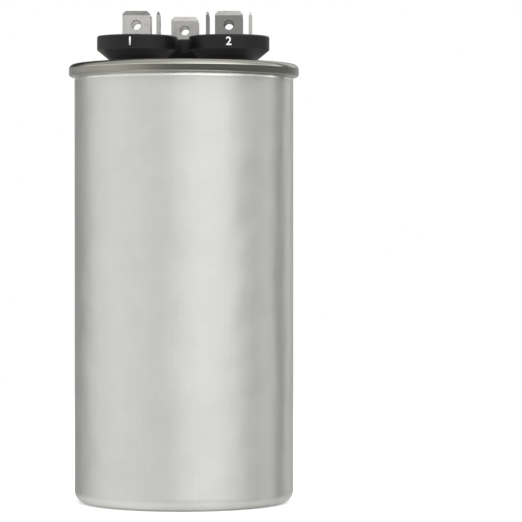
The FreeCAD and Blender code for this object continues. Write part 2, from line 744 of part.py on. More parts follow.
def make_base_cup():
    """The insulating cup on the can's floor, with a groove for the common strip."""
    body = new_body("base_cup")
    sketch = new_sketch(body, "XZ_Plane", "CupSection")
    outline(
        sketch,
        ("0", "can_floor", "line"),
        (f"{BASE_CUP_RADIUS} - {CAN_INNER_CORNER}", "can_floor", "line"),
        (BASE_CUP_RADIUS, "can_base_corner", "turn_across"),
        (BASE_CUP_RADIUS, "can_floor + base_cup_height", "line"),
        (BASE_CUP_BORE, "can_floor + base_cup_height", "line"),
        (BASE_CUP_BORE, WINDING_FLOOR, "line"),
        ("0", WINDING_FLOOR, "line"),
    )
    revolve(body, sketch)
    groove = new_sketch(body, "XY_Plane", "LeadGroove")
    half_width = "(lead_width / 2 + lead_slot_clearance)"
    back = "(lead_thickness / 2 + lead_slot_clearance)"
    front = f"({back} + lead_bend + common_foot_length)"
    outline(
        groove,
        (f"0 - {half_width}", f"0 - {back}", "line"),
        (half_width, f"0 - {back}", "line"),
        (half_width, front, "line"),
        (f"0 - {half_width}", front, "line"),
    )
    lift(groove, f"{WINDING_FLOOR} - lead_thickness")
    groove.setExpression("AttachmentOffset.Rotation.Angle", bound("common_angle - 90"))
    pocket(body, groove, reverse=True)
    return body


def make_winding():
    """Core tube, two wound sections, the film between them, sprayed ends and wrap."""
    rise = f"({TUBE_TOP} - {WINDING_FLOOR})"
    barrier_rise = f"({TUBE_TOP} - {WINDING_BOTTOM})"
    fan_edge = "fan_section_radius"
    make_tube("core_tube", "core_bore_radius", CORE_RADIUS, WINDING_FLOOR, rise)
    make_tube("fan_section", CORE_RADIUS, fan_edge, WINDING_BOTTOM, WINDING_LENGTH)
    make_tube("section_barrier", fan_edge, BARRIER_RADIUS, WINDING_BOTTOM, barrier_rise)
    make_tube("compressor_section", BARRIER_RADIUS, WINDING_RADIUS, WINDING_BOTTOM, WINDING_LENGTH)
    make_tube("common_end_spray", CORE_RADIUS, WINDING_RADIUS, WINDING_FLOOR, "spray_thickness")
    make_tube("fan_end_spray", CORE_RADIUS, fan_edge, WINDING_TOP, "spray_thickness")
    make_tube("compressor_end_spray", BARRIER_RADIUS, WINDING_RADIUS, WINDING_TOP, "spray_thickness")
    make_tube("winding_wrap", WINDING_RADIUS, WRAP_RADIUS, WINDING_FLOOR, rise)


def check_and_write():
    """Stop on any failed object, then write one file for each sub-part."""
    document.recompute()
    for item in document.Objects:
        if "Invalid" in item.State or "Error" in item.State:
            raise RuntimeError(f"{item.Label} did not compute: {item.State}")
    os.makedirs("parts", exist_ok=True)
    for body in document.findObjects("PartDesign::Body"):
        if body.Shape.isNull() or not body.Shape.isValid() or len(body.Shape.Solids) != 1:
            raise RuntimeError(f"{body.Label} is not one sound solid")
        body.Shape.exportStep(f"parts/{body.Label}.step")
        print(f"{body.Label}: {body.Shape.Volume:.1f} cubic mm")


make_sheet()
make_can()
make_lid()
make_seam_compound()
for name, angle, tab_count, tab_span in TERMINALS:
    make_cup(name, angle)
    make_gasket(name, angle)
    make_inner_insulator(name, angle)
    make_stud(name, angle)
    make_terminal(name, angle, tab_count, tab_span)
make_interrupter()
make_leads()
make_base_cup()
make_winding()
check_and_write()
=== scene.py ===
import math

import bmesh
import bpy
from bpy.props import FloatProperty, FloatVectorProperty, PointerProperty
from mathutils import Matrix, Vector


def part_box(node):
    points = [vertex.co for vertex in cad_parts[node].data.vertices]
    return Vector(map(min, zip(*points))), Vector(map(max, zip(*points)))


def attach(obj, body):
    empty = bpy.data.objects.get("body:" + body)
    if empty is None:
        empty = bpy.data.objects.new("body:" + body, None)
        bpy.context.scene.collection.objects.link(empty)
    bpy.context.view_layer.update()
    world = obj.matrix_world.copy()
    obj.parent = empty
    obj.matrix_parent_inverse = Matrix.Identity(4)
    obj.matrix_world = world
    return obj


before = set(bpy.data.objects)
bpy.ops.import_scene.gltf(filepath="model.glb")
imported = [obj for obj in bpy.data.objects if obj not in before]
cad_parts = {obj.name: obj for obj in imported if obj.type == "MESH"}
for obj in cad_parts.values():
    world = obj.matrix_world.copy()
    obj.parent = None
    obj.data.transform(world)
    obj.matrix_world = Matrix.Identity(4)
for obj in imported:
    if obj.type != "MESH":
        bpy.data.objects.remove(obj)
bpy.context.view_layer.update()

bl_info = {
    "name": "Motor run capacitor",
    "version": (1, 0, 0),
    "blender": (4, 5, 0),
    "location": "3D View > Sidebar > Capacitor",
    "description": "Finishes, printed numbers and studio for a round motor run capacitor",
    "category": "Object",
}

MM = 0.001
TERMINALS = ("fan", "compressor", "common")

# Where the solids put things, in metres from the can's axis or from the table.
LID_LOW, LID_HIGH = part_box("lid")
CUP_LOW, CUP_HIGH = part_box("fan_cup")
CUP_RADIUS = (CUP_HIGH.x - CUP_LOW.x) / 2
SEAM_RADIUS = (LID_HIGH.x - LID_LOW.x) / 2
SEAM_HEIGHT = 2.9 * MM
SEAM_BOTTOM = LID_HIGH.z - SEAM_HEIGHT
CROWN_HEIGHT = 1.2 * MM
CROWN_START = LID_HIGH.z - CROWN_HEIGHT
PANEL_TOP = SEAM_BOTTOM  # the panel lies as deep as the seam is high
PANEL_RADIUS = 24.3 * MM  # flat part of the lid, inside the seam

# In what follows, a pair of places is where a mask is 0 and where it is 1. A tone is
# what a colour is multiplied by, and a stretch is how far gloss is drawn out one way.

# The can: heights over the table, and what changes there.
CAN_METALLIC = 0.94
CAN_GLOSS_STRETCH = 0.95
CAN_GLOSS_TURN = 0.25  # as a share of a full turn
# Painted shade along the foot, where the can stands on the table.
FOOT_LINE = (0.6 * MM, 0.1 * MM)  # the edge that stands on the table
FOOT_SHADE_TONE = 0.72
BASE_CORNER = (3.2 * MM, 1.4 * MM)  # the drawn corner, where the skin is chalkier
CORNER_METALLIC = 0.35
# At the neck the wall is burnished smoother, and its lighter colour there is a painted
# highlight.
NECK = (SEAM_BOTTOM - 0.95 * MM, SEAM_BOTTOM - 0.75 * MM)  # burnished by the seam rolls
NECK_HIGHLIGHT_COLOUR = (0.97, 0.975, 0.94, 1.0)
NECK_ROUGHNESS = 0.55  # as a share of the wall's
WAVE_LENGTH = 15.0 * MM
WAVE_DEPTH = 0.75 * MM
DRAWN_LINE_DEPTH = 0.0006 * MM

# The lid: distances from the axis and heights, and what changes there.
PANEL_EDGE = (PANEL_RADIUS, PANEL_RADIUS - 0.5 * MM)
PANEL_DEPTH = (PANEL_TOP + 0.4 * MM, PANEL_TOP + 0.1 * MM)
PANEL_METALLIC = 0.62
BRUSHED_LINE_DEPTH = 0.0015 * MM
LID_GLOSS_STRETCH = 0.55
SEAM_CROWN = (CROWN_START + 0.05 * MM, CROWN_START + 0.3 * MM)
SEAM_OUTER_HALF = (SEAM_RADIUS - 1.2 * MM, SEAM_RADIUS - 0.8 * MM)
# Painted shade darkens the upper part of the seam's outer half.
OUTER_CROWN_SHADE_TONE = 0.58
SEAM_INNER_HALF = (SEAM_RADIUS - 1.3 * MM, SEAM_RADIUS - 1.5 * MM)
# Painted highlight lightens the seam's inner wall down to the panel.
INNER_WALL_HIGHLIGHT_TONE = 1.5
RUBBED_SEAM = (0.9, 0.89, 0.86, 1.0)

# The cups and the ink.
CUP_SHEEN = 0.4
CUP_GRAIN_DEPTH = 0.004 * MM
SCUFFED_PLASTIC = (0.09, 0.09, 0.088, 1.0)
INK_ROUGHNESS = 0.55
INK_GRAIN_DEPTH = 0.002 * MM

# Tinned sheet. The pairs are distances inwards from a terminal's highest corner: down
# for the coined bevel, and to the left for the right-hand tab.
SHEARED_EDGE_TONE = 0.45
ROLLED_LINE_DEPTH = 0.0007 * MM
# The coined bevel and the right-hand tab get painted shade and painted light.
COINED_BEVEL = (1.04 * MM, 1.01 * MM)
RIGHT_TAB = (1.5 * MM, 0.9 * MM)
STUD_TIN, STUD_ROUGHNESS = (0.68, 0.67, 0.64), 0.32
LEAD_TIN, LEAD_ROUGHNESS = (0.72, 0.7, 0.66), 0.35
# Terminal, painted shade of its tabs, what is taken off their roughness, painted shade of
# their coined bevels, and painted light and shade of the right-hand tab.
TAB_PAINTED_LIGHT = (
    ("fan", 1.0, 0.0, 0.3, 0.84),
    ("compressor", 0.48, 0.07, 1.0, 2.2),
    ("common", 0.83, 0.03, 0.72, 1.0),
)

# Finish of the pieces that are hidden in the can: metallic share, colour, roughness,
# grains per mm, swing of the grain's tone, its depth in mm, and the nodes that wear it.
HIDDEN_FINISHES = {
    "seam_rubber": (0.0, (0.2, 0.18, 0.16), 0.7, 3.0, 0.1, 0.01, ["seam_compound"]),
    "gasket_rubber": (
        0.0, (0.03, 0.03, 0.03), 0.75, 4.0, 0.1, 0.01, [t + "_gasket" for t in TERMINALS],
    ),
    "insulator_plastic": (
        0.0, (0.7, 0.66, 0.55), 0.5, 3.0, 0.04, 0.004,
        [t + "_inner_insulator" for t in TERMINALS],
    ),
    "wound_film": (
        0.6, (0.55, 0.56, 0.58), 0.25, 6.0, 0.08, 0.004, ["fan_section", "compressor_section"],
    ),
    "clear_film": (
        0.0, (0.74, 0.74, 0.69), 0.2, 0.6, 0.05, 0.01, ["section_barrier", "winding_wrap"],
    ),
    "sprayed_zinc": (
        0.9, (0.5, 0.51, 0.53), 0.65, 4.0, 0.2, 0.05, [t + "_end_spray" for t in TERMINALS],
    ),
    "interrupter_plastic": (
        0.0, (0.42, 0.26, 0.13), 0.55, 2.0, 0.15, 0.01, ["interrupter_disc"],
    ),
    "base_cup_plastic": (0.0, (0.78, 0.78, 0.74), 0.45, 2.0, 0.04, 0.004, ["base_cup"]),
    "core_plastic": (0.0, (0.72, 0.69, 0.6), 0.45, 2.0, 0.05, 0.004, ["core_tube"]),
}

# Printed numbers. Each cup's number faces a direction in degrees from the right, where
# the front is -90. Stroke and weld are in heights of the font's line.
NUMBER_FACING = {"fan": -98, "compressor": -90, "common": 90}
STROKE_STEPS = 8
STROKE_GAIN = 0.02  # how much bolder than the font
WELD = 1e-5  # points nearer than this become one
STRIP_WIDTH = 0.2 * MM  # strips that bend a number round its cup
INK_GAP = 0.2  # gap under the ink, in ink films

# Studio, in metres and in levels of light, where 1 is plain white.
WHITE = (1.0, 1.0, 1.0, 1.0)
FLOOR_PAPER = (0.86, 0.86, 0.86, 1.0)
FLOOR_RADIUS = 3.0
FLOOR_SIDES = 96
FLOOR_FADE = (0.12, 0.5)  # distances between which the paper turns into plain white
FLOOR_LIFT = 0.3  # light that the camera sees added to the paper
CEILING_LEVEL = 1.15
PIT_LEVEL = 0.36
# Elevations in degrees between which one part of the room turns into the next.
SKIRTING_TOP = (11, 6)
SKIRTING_FOOT = (-72, -60)
CEILING_EDGE = (55, 63)
PIT_EDGE = (-68, -76)
# Degrees round the room, from its front towards the right, and the level there.
WALL_TONES = (
    (-180, 0.3), (-164, 0.2), (-155, 0.02), (-142, 0.02), (-128, 0.26), (-114, 0.98),
    (-100, 1.03), (-60, 1.02), (-30, 1.15), (-15, 1.4), (0, 1.8), (20, 2.02), (38, 2.06),
    (50, 2.0), (60, 1.68), (72, 1.22), (86, 0.92), (97, 1.05), (110, 1.85), (119, 0.6),
    (125, 0.05), (130, 0.05), (137, 1.0), (150, 1.6), (165, 0.4), (180, 0.4),
)
SKIRTING_TONES = (
    (-180, 0.45), (-150, 0.34), (-125, 0.5), (-75, 0.62), (-45, 0.45), (-20, 0.22),
    (0, 0.16), (35, 0.15), (75, 0.16), (128, 0.2), (180, 0.5),
)
# Name, place, side in metres and power in watts of each soft lamp.
LAMPS = (
    ("left_softbox", (-0.9, -0.8, 0.7), 1.0, 2.5),
    ("right_softbox", (0.9, -0.9, 0.6), 0.9, 1.6),
    ("top_softbox", (0.0, -0.1, 1.3), 1.2, 3.0),
)
LAMP_AIM = Vector((0, 0, 0.05))  # the middle of the can
SENSOR_WIDTH = 36  # in millimetres, as the lens is
CLIP_START, CLIP_END = 0.01, 20


# Small helpers for node trees, which are laid out in rows.

NODES_IN_A_ROW = 8
NODE_WIDTH = 220
NODE_HEIGHT = 260


def fill_socket(tree, socket, value):
    """Link a node's output to a socket, or set the socket to a plain value."""
    if isinstance(value, bpy.types.NodeSocket):
        tree.links.new(value, socket)
    else:
        socket.default_value = value


def add_node(tree, kind, inputs=None, **settings):
    """Add a node, set its options, and fill its inputs with values or links."""
    node = tree.nodes.new(kind)
    for option, value in settings.items():
        setattr(node, option, value)
    for socket, value in (inputs or {}).items():
        fill_socket(tree, node.inputs[socket], value)
    row, column = divmod(len(tree.nodes), NODES_IN_A_ROW)
    node.location = (NODE_WIDTH * column, -NODE_HEIGHT * row)
    return node


def calculate(tree, operation, *values):
    """The output of a Math node."""
    inputs = dict(enumerate(values))
    return add_node(tree, "ShaderNodeMath", inputs, operation=operation).outputs[0]


def calculate_vector(tree, operation, output, inputs):
    """The Vector or the Value that a Vector Math node puts out."""
    return add_node(tree, "ShaderNodeVectorMath", inputs, operation=operation).outputs[output]


def split(tree, vector):
    """The three parts of a vector."""
    return add_node(tree, "ShaderNodeSeparateXYZ", {0: vector}).outputs


def remap(tree, value, low, high, to_low=0.0, to_high=1.0):
    """The value moved from one range into another, clamped and eased."""
    node = add_node(
        tree,
        "ShaderNodeMapRange",
        {0: value, 1: low, 2: high, 3: to_low, 4: to_high},
        interpolation_type="SMOOTHSTEP",
    )
    return node.outputs[0]


def between(tree, mask, off, on):
    """A value that goes from off to on as a mask goes from 0 to 1."""
    return remap(tree, mask, 0.0, 1.0, off, on)


def raised(tree, value, by, mask):
    """The value, raised by an amount where a mask is 1."""
    return calculate(tree, "MULTIPLY_ADD", mask, by, value)


def blend_colours(tree, share, first, second):
    """One colour turning into another as share goes from 0 to 1."""
    node = add_node(tree, "ShaderNodeMix", {0: share, 6: first, 7: second}, data_type="RGBA")
    return node.outputs[2]


def scaled_colour(tree, colour, *tones):
    """A colour made lighter or darker by tones around 1."""
    tone = tones[0]
    for other in tones[1:]:
        tone = calculate(tree, "MULTIPLY", tone, other)
    return calculate_vector(tree, "SCALE", "Vector", {0: colour, "Scale": tone})


def add_noise(tree, field, scale, **shape):
    """The level, 0 to 1, of a noise with its own detail, roughness or distortion."""
    inputs = {"Vector": field, "Scale": scale}
    inputs.update({label.capitalize(): value for label, value in shape.items()})
    return add_node(tree, "ShaderNodeTexNoise", inputs).outputs[0]


# Effects that several finishes share, as node groups.


def new_group(name, inputs, outputs):
    """An empty group that takes a field and named numbers, with its inner sockets."""
    group = bpy.data.node_groups.new(name, "ShaderNodeTree")
    add_socket = group.interface.new_socket
    add_socket("Field", in_out="INPUT", socket_type="NodeSocketVector")
    for label, value in inputs.items():
        socket = add_socket(label, in_out="INPUT", socket_type="NodeSocketFloat")
        socket.default_value = value
    for label in outputs:
        add_socket(label, in_out="OUTPUT", socket_type="NodeSocketFloat")
    given = add_node(group, "NodeGroupInput").outputs
    wanted = add_node(group, "NodeGroupOutput").inputs
    return group, given, wanted


def build_fine_lines():
    """Grain as a tone around 1 and a level from -1 to 1. A squeezed field makes it lines."""
    group, given, wanted = new_group(
        "Fine lines", {"Lines per mm": 4.0, "Contrast": 0.05}, ("Tone", "Level")
    )
    scale = calculate(group, "MULTIPLY", given["Lines per mm"], 1 / MM)
    noise = add_noise(group, given["Field"], scale, detail=3.0, roughness=0.6)
    # Nearly all of a noise lies between 0.3 and 0.7.
    level = remap(group, noise, 0.3, 0.7, -1.0, 1.0)
    swing = calculate(group, "MULTIPLY", level, given["Contrast"])
    fill_socket(group, wanted["Tone"], calculate(group, "ADD", swing, 1.0))
    fill_socket(group, wanted["Level"], level)
    return group


def build_handling_marks():
    """Soft patches where hands and storage have dulled a surface."""
    group, given, wanted = new_group(
        "Handling marks", {"Patch mm": 12.0, "Amount": 0.5}, ("Mask",)
    )
    scale = calculate(group, "DIVIDE", 1 / MM, given["Patch mm"])
    noise = add_noise(group, given["Field"], scale, detail=4.0, distortion=0.6)
    # The upper part of the noise makes the patches.
    patches = remap(group, noise, 0.42, 0.72)
    mask = calculate(group, "MULTIPLY", patches, given["Amount"])
    fill_socket(group, wanted["Mask"], mask)
    return group


def build_specks():
    """Scattered small dots, such as pits and dust."""
    group, given, wanted = new_group("Specks", {"Spacing mm": 1.5, "Amount": 0.5}, ("Mask",))
    scale = calculate(group, "DIVIDE", 1 / MM, given["Spacing mm"])
    cells = add_node(
        group,
        "ShaderNodeTexVoronoi",
        {"Vector": given["Field"], "Scale": scale, "Randomness": 1.0},
    ).outputs
    # A dot's soft edge is a share of the spacing, and only some cells keep their dot.
    dots = remap(group, cells["Distance"], 0.02, 0.12, 1.0, 0.0)
    chosen = calculate(group, "GREATER_THAN", cells["Color"], 0.72)
    kept = calculate(group, "MULTIPLY", dots, chosen)
    fill_socket(group, wanted["Mask"], calculate(group, "MULTIPLY", kept, given["Amount"]))
    return group


def build_edge_wear():
    """Edges rubbed bright or pale, broken up by noise."""
    group, given, wanted = new_group("Edge wear", {"Reach mm": 0.15, "Amount": 0.5}, ("Mask",))
    reach = calculate(group, "MULTIPLY", given["Reach mm"], MM)
    rounded = add_node(group, "ShaderNodeBevel", {"Radius": reach}, samples=4).outputs[0]
    normal = add_node(group, "ShaderNodeNewGeometry").outputs["Normal"]
    likeness = calculate_vector(group, "DOT_PRODUCT", "Value", {0: rounded, 1: normal})
    # The two normals are alike, 1, on flat places, and part towards an edge.
    edge = remap(group, likeness, 0.998, 0.93)
    noise = add_noise(group, given["Field"], 1.2 / MM, detail=3.0)
    # The rubbing is never thinner than 0.6 of its full strength.
    broken = remap(group, noise, 0.32, 0.6, 0.6, 1.0)
    mask = calculate(group, "MULTIPLY", edge, broken)
    fill_socket(group, wanted["Mask"], calculate(group, "MULTIPLY", mask, given["Amount"]))
    return group


EFFECTS = {
    "Fine lines": build_fine_lines,
    "Handling marks": build_handling_marks,
    "Specks": build_specks,
    "Edge wear": build_edge_wear,
}


def use_effect(tree, name, **inputs):
    """Place a shared effect with its own values. It is built where it is first used."""
    group = bpy.data.node_groups.get(name) or EFFECTS[name]()
    node = add_node(tree, "ShaderNodeGroup", node_tree=group)
    for label, value in inputs.items():
        fill_socket(tree, node.inputs[label.replace("_", " ").capitalize()], value)
    return node.outputs


# Fields that the effects are laid out in, from the object's own coordinates.


def object_field(tree):
    """The plain position on the object, in metres."""
    return add_node(tree, "ShaderNodeTexCoord").outputs["Object"]


def upright_field(tree, place):
    """Position squeezed in height, so that grain turns into long upright lines."""
    squeeze = (1.0, 1.0, 0.012)
    return calculate_vector(tree, "MULTIPLY", "Vector", {0: place, 1: squeeze})


def turned_field(tree, place):
    """A field whose grain makes rings round the axis, with the reach and the height."""
    x, y, height = split(tree, place)
    flat = add_node(tree, "ShaderNodeCombineXYZ", {0: x, 1: y}).outputs[0]
    reach = calculate_vector(tree, "LENGTH", "Value", {0: flat})
    drift = 0.02  # lets a ring's grain change a little on its way round
    drift_across = calculate(tree, "MULTIPLY", x, drift)
    drift_along = calculate(tree, "MULTIPLY", y, drift)
    rings = calculate(tree, "ADD", reach, height)
    field = add_node(tree, "ShaderNodeCombineXYZ", {0: rings, 1: drift_across, 2: drift_along})
    return field.outputs[0], reach, height


# Finishes.


def new_material(name):
    """A new material and its empty node tree."""
    material = bpy.data.materials.new(name)
    material.use_nodes = True
    material.node_tree.nodes.clear()
    return material, material.node_tree


def start_finish(name, metallic, roughness):
    """A new material, its tree, and its surface shader."""
    material, tree = new_material(name)
    shader = add_node(
        tree, "ShaderNodeBsdfPrincipled", {"Metallic": metallic, "Roughness": roughness}
    )
    add_node(tree, "ShaderNodeOutputMaterial", {0: shader.outputs[0]})
    return material, tree, shader


def join(tree, source, shader, socket):
    """Link a value or colour to one of the shader's sockets."""
    tree.links.new(source, shader.inputs[socket])


def add_bump(tree, shader, height, distance):
    """Raise the surface by a height of 0 to 1 times a distance in metres."""
    bump = add_node(
        tree, "ShaderNodeBump", {"Strength": 1.0, "Distance": distance, "Height": height}
    )
    join(tree, bump.outputs[0], shader, "Normal")


def draw_gloss(tree, shader, amount, rotation=0.0):
    """Stretch the gloss of a surface that was drawn or turned round the can's axis."""
    shader.inputs["Anisotropic"].default_value = amount
    shader.inputs["Anisotropic Rotation"].default_value = rotation
    around = add_node(tree, "ShaderNodeTangent", direction_type="RADIAL", axis="Z")
    join(tree, around.outputs[0], shader, "Tangent")


def can_finish(looks):
    """Drawn aluminium: upright lines, slow waves, faint marks, painted shade along the foot,
    and a burnished neck with a painted highlight.
    """
    material, tree, shader = start_finish("can_metal", CAN_METALLIC, looks.can_roughness)
    place = object_field(tree)
    upright = upright_field(tree, place)
    height = split(tree, place)[2]
    fine = use_effect(tree, "Fine lines", field=upright, lines_per_mm=3.0, contrast=0.014)
    broad = use_effect(tree, "Fine lines", field=place, lines_per_mm=0.2, contrast=0.014)
    marks = use_effect(tree, "Handling marks", field=place, patch_mm=16.0, amount=0.5)
    specks = use_effect(tree, "Specks", field=place, spacing_mm=2.2, amount=0.5)
    dim = between(tree, specks["Mask"], 1.0, 0.9)
    # Painted shade: the colour darkens along the foot.
    foot = remap(tree, height, *FOOT_LINE, 1.0, FOOT_SHADE_TONE)
    colour = scaled_colour(tree, looks.can_colour, fine["Tone"], broad["Tone"], dim, foot)
    # The neck's lighter colour is a painted highlight; its lower roughness is the burnishing.
    neck = remap(tree, height, *NECK)
    join(tree, blend_colours(tree, neck, colour, NECK_HIGHLIGHT_COLOUR), shader, "Base Color")
    # The corner goes half way to its own metallic share.
    chalky = remap(tree, height, *BASE_CORNER, 0.0, 0.5)
    join(tree, between(tree, chalky, CAN_METALLIC, CORNER_METALLIC), shader, "Metallic")
    dull = raised(tree, looks.can_roughness, by=0.07, mask=marks["Mask"])
    drawn = raised(tree, dull, by=0.03, mask=fine["Level"])
    smooth = looks.can_roughness * NECK_ROUGHNESS
    join(tree, between(tree, neck, drawn, smooth), shader, "Roughness")
    draw_gloss(tree, shader, CAN_GLOSS_STRETCH, CAN_GLOSS_TURN)
    wall = between(tree, neck, 1.0, 0.0)
    lines = calculate(tree, "MULTIPLY", fine["Level"], wall)
    waves = add_noise(tree, place, 1 / WAVE_LENGTH, detail=2.0, roughness=0.4)
    relief = raised(tree, waves, by=DRAWN_LINE_DEPTH / WAVE_DEPTH, mask=lines)
    add_bump(tree, shader, relief, WAVE_DEPTH)
    return material


def lid_finish(looks):
    """Tinned steel: rings of fine brushing on the panel and a rolled bright seam, with painted
    shade on its outer crown and a painted highlight on its inner wall.
    """
    material, tree, shader = start_finish("lid_metal", 1.0, looks.seam_roughness)
    place = object_field(tree)
    rings, reach, height = turned_field(tree, place)
    inside = remap(tree, reach, *PANEL_EDGE)
    low = remap(tree, height, *PANEL_DEPTH)
    panel = calculate(tree, "MULTIPLY", inside, low)
    lines = use_effect(tree, "Fine lines", field=rings, lines_per_mm=4.0, contrast=0.05)
    marks = use_effect(tree, "Handling marks", field=place, patch_mm=7.0, amount=0.6)
    worn = use_effect(tree, "Edge wear", field=place, reach_mm=0.12, amount=0.12)
    tinned = blend_colours(tree, panel, looks.seam_colour, looks.panel_colour)
    bright = blend_colours(tree, worn["Mask"], tinned, RUBBED_SEAM)
    crown = remap(tree, height, *SEAM_CROWN)
    outer = remap(tree, reach, *SEAM_OUTER_HALF)
    # Painted shade on the upper part of the seam's outer half.
    crown_shade = between(tree, calculate(tree, "MULTIPLY", crown, outer), 1.0, OUTER_CROWN_SHADE_TONE)
    # Painted highlight on the seam's inner wall, outside the panel.
    edge = remap(tree, reach, *SEAM_INNER_HALF)
    clear = between(tree, panel, 1.0, 0.0)
    inner_wall_highlight = between(tree, calculate(tree, "MULTIPLY", edge, clear), 1.0, INNER_WALL_HIGHLIGHT_TONE)
    tinted = scaled_colour(tree, bright, lines["Tone"], crown_shade, inner_wall_highlight)
    join(tree, tinted, shader, "Base Color")
    join(tree, between(tree, panel, 1.0, PANEL_METALLIC), shader, "Metallic")
    plain = between(tree, panel, looks.seam_roughness, looks.panel_roughness)
    scored = calculate(tree, "MULTIPLY", lines["Level"], panel)
    brushed = raised(tree, plain, by=0.025, mask=scored)
    worn_crown = raised(tree, brushed, by=0.1, mask=crown)
    dull = raised(tree, worn_crown, by=0.04, mask=marks["Mask"])
    join(tree, dull, shader, "Roughness")
    draw_gloss(tree, shader, LID_GLOSS_STRETCH)
    add_bump(tree, shader, scored, BRUSHED_LINE_DEPTH)
    return material


def cup_finish(looks):
    """Moulded black plastic with a soft sheen and slightly paler edges."""
    material, tree, shader = start_finish("cup_plastic", 0.0, looks.cup_roughness)
    shader.inputs["Specular IOR Level"].default_value = CUP_SHEEN
    place = object_field(tree)
    grain = use_effect(tree, "Fine lines", field=place, lines_per_mm=5.0, contrast=0.12)
    marks = use_effect(tree, "Handling marks", field=place, patch_mm=4.0, amount=0.8)
    specks = use_effect(tree, "Specks", field=place, spacing_mm=1.1, amount=0.5)
    worn = use_effect(tree, "Edge wear", field=place, reach_mm=0.25, amount=0.35)
    base = scaled_colour(tree, looks.cup_colour, grain["Tone"])
    pale = calculate(tree, "MAXIMUM", worn["Mask"], specks["Mask"])
    join(tree, blend_colours(tree, pale, base, SCUFFED_PLASTIC), shader, "Base Color")
    dull = raised(tree, looks.cup_roughness, by=0.1, mask=marks["Mask"])
    join(tree, dull, shader, "Roughness")
    add_bump(tree, shader, grain["Level"], CUP_GRAIN_DEPTH)
    return material


def tab_painted_light(tree, place, corner, bevel_painted_shade, side_painted_light):
    """Painted shade on a terminal's coined bevels, and painted light and shade on its
    right-hand tab.
    """
    x, _, height = split(tree, place)
    facing = add_node(tree, "ShaderNodeNewGeometry").outputs["True Normal"]
    # How far a face looks up: 0 on a tab's sides and 1 on its tip and on the plate.
    upward = split(tree, facing)[2]
    not_side = remap(tree, upward, 0.1, 0.15)
    not_flat = remap(tree, upward, 0.9, 0.6)
    leaning = calculate(tree, "MULTIPLY", not_side, not_flat)
    high = remap(tree, height, *(corner.z - down for down in COINED_BEVEL))
    bevel = calculate(tree, "MULTIPLY", leaning, high)
    right = remap(tree, x, *(corner.x - inward for inward in RIGHT_TAB))
    return between(tree, bevel, 1.0, bevel_painted_shade), between(tree, right, 1.0, side_painted_light)


def tinned_finish(name, colour, roughness, tab_light=()):
    """Tin-plated sheet: mottled plating, fine rolling lines and sheared edges.

    For a terminal, tab_light is its highest corner and the painted tones that tab_painted_light
    needs: painted shade for the coined bevels and painted light and shade for the right-hand
    tab.
    """
    material, tree, shader = start_finish(name, 1.0, roughness)
    place = object_field(tree)
    upright = upright_field(tree, place)
    rolled = use_effect(tree, "Fine lines", field=upright, lines_per_mm=5.0, contrast=0.05)
    mottle = use_effect(tree, "Handling marks", field=place, patch_mm=1.6, amount=1.0)
    worn = use_effect(tree, "Edge wear", field=place, reach_mm=0.14, amount=0.4)
    specks = use_effect(tree, "Specks", field=place, spacing_mm=0.9, amount=0.6)
    clouded = between(tree, mottle["Mask"], 1.0, 0.9)
    pitted = between(tree, specks["Mask"], 1.0, 0.8)
    plated = scaled_colour(tree, colour, rolled["Tone"], clouded, pitted)
    sheared = between(tree, worn["Mask"], 1.0, SHEARED_EDGE_TONE)
    # Painted light and shade on a terminal's bevels and right-hand tab.
    tones = tab_painted_light(tree, place, *tab_light) if tab_light else ()
    join(tree, scaled_colour(tree, plated, sheared, *tones), shader, "Base Color")
    dull = raised(tree, roughness, by=0.08, mask=mottle["Mask"])
    join(tree, dull, shader, "Roughness")
    add_bump(tree, shader, rolled["Level"], ROLLED_LINE_DEPTH)
    return material


def hidden_finish(name, metallic, colour, roughness, grains_per_mm, contrast, depth_mm):
    """A grained finish for the pieces inside: plastics, rubber, film and zinc."""
    material, tree, shader = start_finish(name, metallic, roughness)
    place = object_field(tree)
    grain = use_effect(
        tree, "Fine lines", field=place, lines_per_mm=grains_per_mm, contrast=contrast
    )
    marks = use_effect(tree, "Handling marks", field=place, patch_mm=6.0, amount=0.6)
    clouded = between(tree, marks["Mask"], 1.0, 0.92)
    join(tree, scaled_colour(tree, colour, grain["Tone"], clouded), shader, "Base Color")
    dull = raised(tree, roughness, by=0.08, mask=marks["Mask"])
    join(tree, dull, shader, "Roughness")
    add_bump(tree, shader, grain["Level"], depth_mm * MM)
    return material


def ink_finish(name, colour):
    """Printing ink: thin, matt and a little uneven."""
    material, tree, shader = start_finish(name, 0.0, INK_ROUGHNESS)
    place = object_field(tree)
    grain = use_effect(tree, "Fine lines", field=place, lines_per_mm=7.0, contrast=0.06)
    marks = use_effect(tree, "Handling marks", field=place, patch_mm=0.8, amount=0.5)
    thin = between(tree, marks["Mask"], 1.0, 0.85)
    join(tree, scaled_colour(tree, colour, grain["Tone"], thin), shader, "Base Color")
    add_bump(tree, shader, grain["Level"], INK_GRAIN_DEPTH)
    return material


def wear(material, *nodes):
    """Give CAD nodes a finish."""
    for name in nodes:
        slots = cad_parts[name].data.materials
        slots.clear()
        slots.append(material)


def wear_hidden(*names):
    """Give the nodes of each hidden finish theirs."""
    for name in names:
        *values, nodes = HIDDEN_FINISHES[name]
        wear(hidden_finish(name, *values), *nodes)


# Printed numbers, and the mesh of anything that is added.


def make_object(name, shape, material):
    """An object in the scene from a finished shape, with one material."""
    mesh = bpy.data.meshes.new(name)
    shape.to_mesh(mesh)
    shape.free()
    mesh.materials.append(material)
    made = bpy.data.objects.new(name, mesh)
    bpy.context.scene.collection.objects.link(made)
    return made


